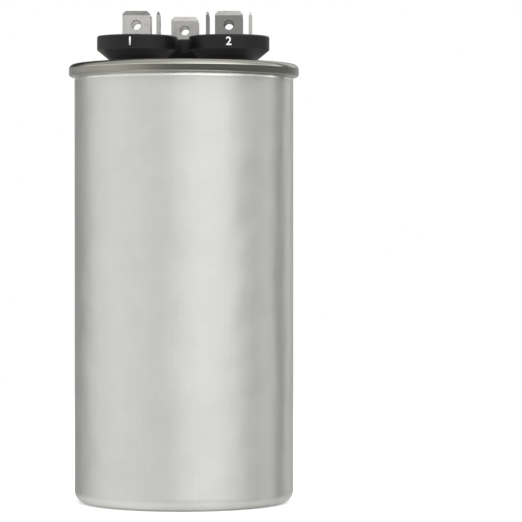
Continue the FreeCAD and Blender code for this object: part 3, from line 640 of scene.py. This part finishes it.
def number_outline(text, height, film):
    """A number lying flat with its middle at the origin, raised by the ink's film."""
    curve = bpy.data.curves.new("number", "FONT")
    curve.body = text
    curve.align_x = "CENTER"
    curve.resolution_u = STROKE_STEPS
    curve.offset = STROKE_GAIN
    draft = bpy.data.objects.new("number", curve)
    bpy.context.scene.collection.objects.link(draft)
    bpy.context.view_layer.update()
    drawn = draft.evaluated_get(bpy.context.evaluated_depsgraph_get())
    flat = bpy.data.meshes.new_from_object(drawn)
    bpy.data.objects.remove(draft)
    bpy.data.curves.remove(curve)
    shape = bmesh.new()
    shape.from_mesh(flat)
    bpy.data.meshes.remove(flat)
    bmesh.ops.remove_doubles(shape, verts=shape.verts, dist=WELD)
    xs = [vert.co.x for vert in shape.verts]
    ys = [vert.co.y for vert in shape.verts]
    middle = Vector(((min(xs) + max(xs)) / 2, (min(ys) + max(ys)) / 2, 0))
    size = height / (max(ys) - min(ys))
    for vert in shape.verts:
        vert.co = (vert.co - middle) * size
    top = bmesh.ops.extrude_face_region(shape, geom=shape.faces[:])
    for item in top["geom"]:
        if isinstance(item, bmesh.types.BMVert):
            item.co.z += film
    bmesh.ops.recalc_face_normals(shape, faces=shape.faces)
    return shape


def slice_across(shape, pitch):
    """Cut a number into upright strips, so that it can follow a round wall."""
    reach = max(abs(vert.co.x) for vert in shape.verts)
    for step in range(-int(reach / pitch), int(reach / pitch) + 1):
        bmesh.ops.bisect_plane(
            shape,
            geom=shape.verts[:] + shape.edges[:] + shape.faces[:],
            plane_co=(step * pitch, 0, 0),
            plane_no=(1, 0, 0),
        )


def print_number(name, shape, material):
    """Turn a placed number into a piece of the object."""
    bmesh.ops.triangulate(shape, faces=shape.faces)
    piece = make_object(name, shape, material)
    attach(piece, "root")


def cup_number(text, terminal, looks, material):
    """A number on the upright band of one cup, bent round it."""
    low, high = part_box(terminal + "_cup")
    axis = (low + high) / 2
    shape = number_outline(text, looks.number_height, looks.ink_film)
    slice_across(shape, STRIP_WIDTH)
    for vert in shape.verts:
        around = math.radians(NUMBER_FACING[terminal]) + vert.co.x / CUP_RADIUS
        out = CUP_RADIUS + looks.ink_film * INK_GAP + vert.co.z
        height = high.z - looks.cup_number_drop + vert.co.y
        vert.co = (axis.x + out * math.cos(around), axis.y + out * math.sin(around), height)
    print_number(f"{terminal}_cup_number", shape, material)


def lid_number(text, terminal, looks, material):
    """A number on the lid's panel beside one cup, its foot towards the rim."""
    low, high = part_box(terminal + "_cup")
    axis = (low + high) / 2
    angle = math.atan2(axis.y, axis.x) + looks.lid_number_turn
    out = Vector((math.cos(angle), math.sin(angle), 0))
    across = Vector((-out.y, out.x, 0))
    centre = out * looks.lid_number_circle
    centre.z = PANEL_TOP + looks.ink_film * INK_GAP
    shape = number_outline(text, looks.number_height, looks.ink_film)
    for vert in shape.verts:
        flat = centre - out * vert.co.y + across * vert.co.x
        vert.co = flat + Vector((0, 0, vert.co.z))
    bmesh.ops.recalc_face_normals(shape, faces=shape.faces)
    print_number(f"{terminal}_lid_number", shape, material)


# Studio.


def seen_ray(tree):
    """1 for rays that show the background: straight, mirrored or through glass."""
    rays = add_node(tree, "ShaderNodeLightPath").outputs
    mirrored = calculate(tree, "MAXIMUM", rays["Is Camera Ray"], rays["Is Glossy Ray"])
    return calculate(tree, "MAXIMUM", mirrored, rays["Is Transmission Ray"])


def floor_finish():
    """Pale paper near the object, and plain white further out."""
    material, tree = new_material("floor_paper")
    reach = calculate_vector(tree, "LENGTH", "Value", {0: object_field(tree)})
    seen = seen_ray(tree)
    lifted = calculate(tree, "MULTIPLY", seen, FLOOR_LIFT)
    paper = add_node(tree, "ShaderNodeBsdfDiffuse", {"Color": FLOOR_PAPER}).outputs[0]
    lift = add_node(tree, "ShaderNodeEmission", {"Color": WHITE, "Strength": lifted}).outputs[0]
    lit = add_node(tree, "ShaderNodeAddShader", {0: paper, 1: lift}).outputs[0]
    white = add_node(tree, "ShaderNodeEmission", {"Color": WHITE, "Strength": 1.0}).outputs[0]
    far = calculate(tree, "MULTIPLY", remap(tree, reach, *FLOOR_FADE), seen)
    mixed = add_node(tree, "ShaderNodeMixShader", {0: far, 1: lit, 2: white}).outputs[0]
    add_node(tree, "ShaderNodeOutputMaterial", {0: mixed})
    return material


def build_floor():
    """A wide table top that keeps the object's shadow. Gloss doesn't show it."""
    shape = bmesh.new()
    bmesh.ops.create_circle(shape, cap_ends=True, segments=FLOOR_SIDES, radius=FLOOR_RADIUS)
    floor = make_object("floor", shape, floor_finish())
    floor.visible_glossy = False


def grey(level):
    """A colour without hue, where 1 is plain white."""
    return (level, level, level, 1.0)


def ring_of_tones(tree, around, tones):
    """Light levels round the object, from a table of degrees and levels."""
    ramp = add_node(tree, "ShaderNodeValToRGB", {0: around})
    ramp.color_ramp.interpolation = "LINEAR"
    elements = ramp.color_ramp.elements
    for index, (degrees, level) in enumerate(tones):
        at = degrees / 360 + 0.5
        element = elements[index] if index < 2 else elements.new(at)
        element.position = at
        element.color = grey(level)
    return ramp.outputs[0]


def past_elevation(tree, height, edge):
    """A mask over the room that goes from 0 to 1 between two elevations in degrees."""
    start, end = (math.sin(math.radians(degrees)) for degrees in edge)
    return remap(tree, height, start, end)


def build_surroundings():
    """A pale room: plain white to the camera, with graded walls for all other rays."""
    world = bpy.data.worlds.new("studio")
    bpy.context.scene.world = world
    world.use_nodes = True
    tree = world.node_tree
    tree.nodes.clear()
    x, y, height = split(tree, add_node(tree, "ShaderNodeTexCoord").outputs["Generated"])
    toward_front = calculate(tree, "MULTIPLY", y, -1.0)
    turn = calculate(tree, "ARCTAN2", x, toward_front)
    around = calculate(tree, "MULTIPLY_ADD", turn, 1 / math.tau, 0.5)
    walls = ring_of_tones(tree, around, WALL_TONES)
    skirting = ring_of_tones(tree, around, SKIRTING_TONES)
    below_top = past_elevation(tree, height, SKIRTING_TOP)
    above_foot = past_elevation(tree, height, SKIRTING_FOOT)
    beside = calculate(tree, "MULTIPLY", below_top, above_foot)
    room = blend_colours(tree, beside, walls, skirting)
    above = past_elevation(tree, height, CEILING_EDGE)
    room = blend_colours(tree, above, room, grey(CEILING_LEVEL))
    below = past_elevation(tree, height, PIT_EDGE)
    room = blend_colours(tree, below, room, grey(PIT_LEVEL))
    straight = add_node(tree, "ShaderNodeLightPath").outputs["Is Camera Ray"]
    colour = blend_colours(tree, straight, room, WHITE)
    background = add_node(tree, "ShaderNodeBackground", {"Color": colour, "Strength": 1.0})
    add_node(tree, "ShaderNodeOutputWorld", {0: background.outputs[0]})


def build_lamps(level):
    """Large soft lamps that look at the middle of the can. Gloss doesn't show them."""
    for name, place, side, power in LAMPS:
        light = bpy.data.lights.new(name, "AREA")
        light.shape = "SQUARE"
        light.size = side
        light.energy = power * level
        lamp = bpy.data.objects.new(name, light)
        lamp.location = place
        lamp.rotation_mode = "QUATERNION"
        lamp.rotation_quaternion = (LAMP_AIM - Vector(place)).to_track_quat("-Z", "Y")
        lamp.visible_glossy = False
        bpy.context.scene.collection.objects.link(lamp)


def build_camera(setup):
    """The photograph's viewpoint: low, a little right of the can, looking along +Y."""
    data = bpy.data.cameras.new("camera")
    data.sensor_width = SENSOR_WIDTH
    data.lens = setup.camera_lens
    data.clip_start = CLIP_START
    data.clip_end = CLIP_END
    camera = bpy.data.objects.new("camera", data)
    camera.location = (setup.camera_aside, -setup.camera_distance, setup.camera_height)
    camera.rotation_euler = (math.pi / 2 - setup.camera_pitch, 0, 0)
    bpy.context.scene.collection.objects.link(camera)
    bpy.context.scene.camera = camera


# Values that a user would change.


class CapacitorFinishes(bpy.types.PropertyGroup):
    """Colours and roughness of the capacitor's own pieces."""

    can_colour: FloatVectorProperty(
        name="Can", description="Aluminium of the drawn can", subtype="COLOR",
        default=(0.92, 0.929, 0.883), min=0, max=1,
    )
    can_roughness: FloatProperty(
        name="Can roughness", description="How widely the can scatters light",
        subtype="FACTOR", default=0.46, min=0.05, max=1,
    )
    seam_colour: FloatVectorProperty(
        name="Seam", description="Tinned steel of the rolled seam", subtype="COLOR",
        size=4, default=(0.51, 0.503, 0.442, 1.0), min=0, max=1,
    )
    seam_roughness: FloatProperty(
        name="Seam roughness", description="How widely the seam scatters light",
        subtype="FACTOR", default=0.13, min=0.05, max=1,
    )
    panel_colour: FloatVectorProperty(
        name="Lid panel", description="Brushed steel inside the seam", subtype="COLOR",
        size=4, default=(0.6, 0.6, 0.585, 1.0), min=0, max=1,
    )
    panel_roughness: FloatProperty(
        name="Lid panel roughness", description="How widely the lid's panel scatters light",
        subtype="FACTOR", default=0.34, min=0.05, max=1,
    )
    cup_colour: FloatVectorProperty(
        name="Terminal cups", description="Moulded plastic of the cups", subtype="COLOR",
        default=(0.006, 0.006, 0.0064), min=0, max=1,
    )
    cup_roughness: FloatProperty(
        name="Cup roughness", description="How matt the cups are",
        subtype="FACTOR", default=0.33, min=0.05, max=1,
    )
    tab_colour: FloatVectorProperty(
        name="Push-on tabs", description="Tin plating of the tabs", subtype="COLOR",
        default=(0.7, 0.69, 0.66), min=0, max=1,
    )
    tab_roughness: FloatProperty(
        name="Tab roughness", description="How widely the tabs scatter light",
        subtype="FACTOR", default=0.38, min=0.05, max=1,
    )


class CapacitorNumbers(bpy.types.PropertyGroup):
    """Size, place and ink of the printed terminal numbers."""

    number_height: FloatProperty(
        name="Height", description="Height of the numbers", subtype="DISTANCE",
        unit="LENGTH", default=1.95 * MM, min=0.5 * MM, max=3 * MM,
    )
    ink_film: FloatProperty(
        name="Ink film", description="How far the ink stands proud", subtype="DISTANCE",
        unit="LENGTH", default=0.02 * MM, min=0.005 * MM, max=0.2 * MM,
    )
    cup_number_drop: FloatProperty(
        name="Below the rim", description="Rim of the cup down to the middle of its number",
        subtype="DISTANCE", unit="LENGTH", default=1.6 * MM, min=1 * MM, max=2.2 * MM,
    )
    lid_number_circle: FloatProperty(
        name="Lid circle", description="Axis of the can out to the lid's numbers",
        subtype="DISTANCE", unit="LENGTH", default=20.6 * MM, min=19 * MM, max=22 * MM,
    )
    lid_number_turn: FloatProperty(
        name="Lid turn", description="Angle from a cup round to its number on the lid",
        subtype="ANGLE", default=math.radians(43), min=math.radians(38), max=math.radians(60),
    )
    cup_ink: FloatVectorProperty(
        name="Ink on the cups", description="Pale ink of the cups' numbers", subtype="COLOR",
        default=(0.86, 0.86, 0.85), min=0, max=1,
    )
    lid_ink: FloatVectorProperty(
        name="Ink on the lid", description="Dark ink of the lid's numbers", subtype="COLOR",
        default=(0.02, 0.02, 0.022), min=0, max=1,
    )


class CapacitorStudio(bpy.types.PropertyGroup):
    """Camera and lamps."""

    camera_distance: FloatProperty(
        name="Distance", description="Axis of the can to the camera", subtype="DISTANCE",
        unit="LENGTH", default=0.65, min=0.3, max=3,
    )
    camera_height: FloatProperty(
        name="Height", description="Table to the camera", subtype="DISTANCE",
        unit="LENGTH", default=0.0644, min=0.01, max=1,
    )
    camera_aside: FloatProperty(
        name="Aside", description="How far right of the can the camera stands",
        subtype="DISTANCE", unit="LENGTH", default=0.0179, min=-0.2, max=0.2,
    )
    camera_pitch: FloatProperty(
        name="Pitch", description="How far the camera looks down", subtype="ANGLE",
        default=math.radians(0.738), min=0, max=math.radians(30),
    )
    camera_lens: FloatProperty(
        name="Lens", description="Focal length in millimetres", subtype="DISTANCE_CAMERA",
        unit="CAMERA", default=192.7, min=20, max=400,
    )
    lamp_level: FloatProperty(
        name="Lamps", description="Level of all the soft lamps", default=1.0, min=0, max=5,
    )


# Operators: one for each group of like pieces, and one for the stage.


class CAPACITOR_OT_can(bpy.types.Operator):
    """Give the can its drawn aluminium"""

    bl_idname = "capacitor.can"
    bl_label = "Can"

    def execute(self, context):
        wear(can_finish(context.scene.capacitor_finishes), "can")
        return {"FINISHED"}


class CAPACITOR_OT_lid(bpy.types.Operator):
    """Give the lid its brushed panel and rolled seam, and the seam its sealing ring"""

    bl_idname = "capacitor.lid"
    bl_label = "Lid and seam"

    def execute(self, context):
        wear(lid_finish(context.scene.capacitor_finishes), "lid")
        wear_hidden("seam_rubber")
        return {"FINISHED"}


class CAPACITOR_OT_cups(bpy.types.Operator):
    """Give the terminal cups, their gaskets and bushes their plastics and rubber"""

    bl_idname = "capacitor.cups"
    bl_label = "Terminal cups"

    def execute(self, context):
        wear(cup_finish(context.scene.capacitor_finishes), *[t + "_cup" for t in TERMINALS])
        wear_hidden("gasket_rubber", "insulator_plastic")
        return {"FINISHED"}


class CAPACITOR_OT_tabs(bpy.types.Operator):
    """Give the folded tabs, studs and lead strips their tin plating"""

    bl_idname = "capacitor.tabs"
    bl_label = "Tabs, studs and leads"

    def execute(self, context):
        looks = context.scene.capacitor_finishes
        # Each terminal's tabs are lit and shaded copies of one plating: painted shade on the
        # tabs, and painted light and shade on the bevels and the right-hand tab.
        for terminal, painted_tab_shade, gloss, bevel_painted_shade, side_painted_light in TAB_PAINTED_LIGHT:
            colour = tuple(part * painted_tab_shade for part in looks.tab_colour)
            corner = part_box(terminal + "_terminal")[1]
            metal = tinned_finish(
                terminal + "_tab_metal",
                colour,
                looks.tab_roughness - gloss,
                (corner, bevel_painted_shade, side_painted_light),
            )
            wear(metal, terminal + "_terminal")
        stud = tinned_finish("stud_metal", STUD_TIN, STUD_ROUGHNESS)
        wear(stud, *[t + "_stud" for t in TERMINALS])
        strip = tinned_finish("lead_metal", LEAD_TIN, LEAD_ROUGHNESS)
        wear(strip, *[t + "_lead" for t in TERMINALS])
        return {"FINISHED"}


class CAPACITOR_OT_winding(bpy.types.Operator):
    """Give the wound sections and what holds them their film, zinc and plastics"""

    bl_idname = "capacitor.winding"
    bl_label = "Winding and insulators"

    def execute(self, context):
        wear_hidden("wound_film", "clear_film", "sprayed_zinc")
        wear_hidden("interrupter_plastic", "base_cup_plastic", "core_plastic")
        return {"FINISHED"}


class CAPACITOR_OT_numbers(bpy.types.Operator):
    """Print the plain terminal numbers on the cups and on the lid"""

    bl_idname = "capacitor.numbers"
    bl_label = "Printed numbers"

    def execute(self, context):
        looks = context.scene.capacitor_numbers
        pale = ink_finish("pale_ink", looks.cup_ink)
        dark = ink_finish("dark_ink", looks.lid_ink)
        for text, terminal in zip("123", TERMINALS):
            cup_number(text, terminal, looks, pale)
            lid_number(text, terminal, looks, dark)
        return {"FINISHED"}


class CAPACITOR_OT_studio(bpy.types.Operator):
    """Set up the floor, the surroundings, the soft lamps and the camera"""

    bl_idname = "capacitor.studio"
    bl_label = "Studio"

    def execute(self, context):
        setup = context.scene.capacitor_studio
        context.scene.view_settings.view_transform = "Standard"
        build_floor()
        build_surroundings()
        build_lamps(setup.lamp_level)
        build_camera(setup)
        return {"FINISHED"}


class CAPACITOR_PT_sidebar(bpy.types.Panel):
    """Sizes, colours and steps of the capacitor's looks"""

    bl_idname = "CAPACITOR_PT_sidebar"
    bl_label = "Motor run capacitor"
    bl_space_type = "VIEW_3D"
    bl_region_type = "UI"
    bl_category = "Capacitor"

    def draw(self, context):
        for group in PROPERTY_GROUPS:
            box = self.layout.box()
            settings = getattr(context.scene, group)
            for label in settings.__annotations__:
                box.prop(settings, label)
        for operator in OPERATORS:
            self.layout.operator(operator.bl_idname)


PROPERTY_GROUPS = {
    "capacitor_finishes": CapacitorFinishes,
    "capacitor_numbers": CapacitorNumbers,
    "capacitor_studio": CapacitorStudio,
}

OPERATORS = (
    CAPACITOR_OT_can,
    CAPACITOR_OT_lid,
    CAPACITOR_OT_cups,
    CAPACITOR_OT_tabs,
    CAPACITOR_OT_winding,
    CAPACITOR_OT_numbers,
    CAPACITOR_OT_studio,
)


def register():
    """Add the settings, the steps and the sidebar panel."""
    for name, group in PROPERTY_GROUPS.items():
        bpy.utils.register_class(group)
        setattr(bpy.types.Scene, name, PointerProperty(type=group))
    for operator in OPERATORS:
        bpy.utils.register_class(operator)
    bpy.utils.register_class(CAPACITOR_PT_sidebar)


def unregister():
    """Take the panel, the steps and the settings out again."""
    bpy.utils.unregister_class(CAPACITOR_PT_sidebar)
    for operator in reversed(OPERATORS):
        bpy.utils.unregister_class(operator)
    for name, group in PROPERTY_GROUPS.items():
        delattr(bpy.types.Scene, name)
        bpy.utils.unregister_class(group)


def main():
    """Register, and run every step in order."""
    register()
    bpy.ops.capacitor.can()
    bpy.ops.capacitor.lid()
    bpy.ops.capacitor.cups()
    bpy.ops.capacitor.tabs()
    bpy.ops.capacitor.winding()
    bpy.ops.capacitor.numbers()
    bpy.ops.capacitor.studio()


if __name__ == "__main__":
    main()
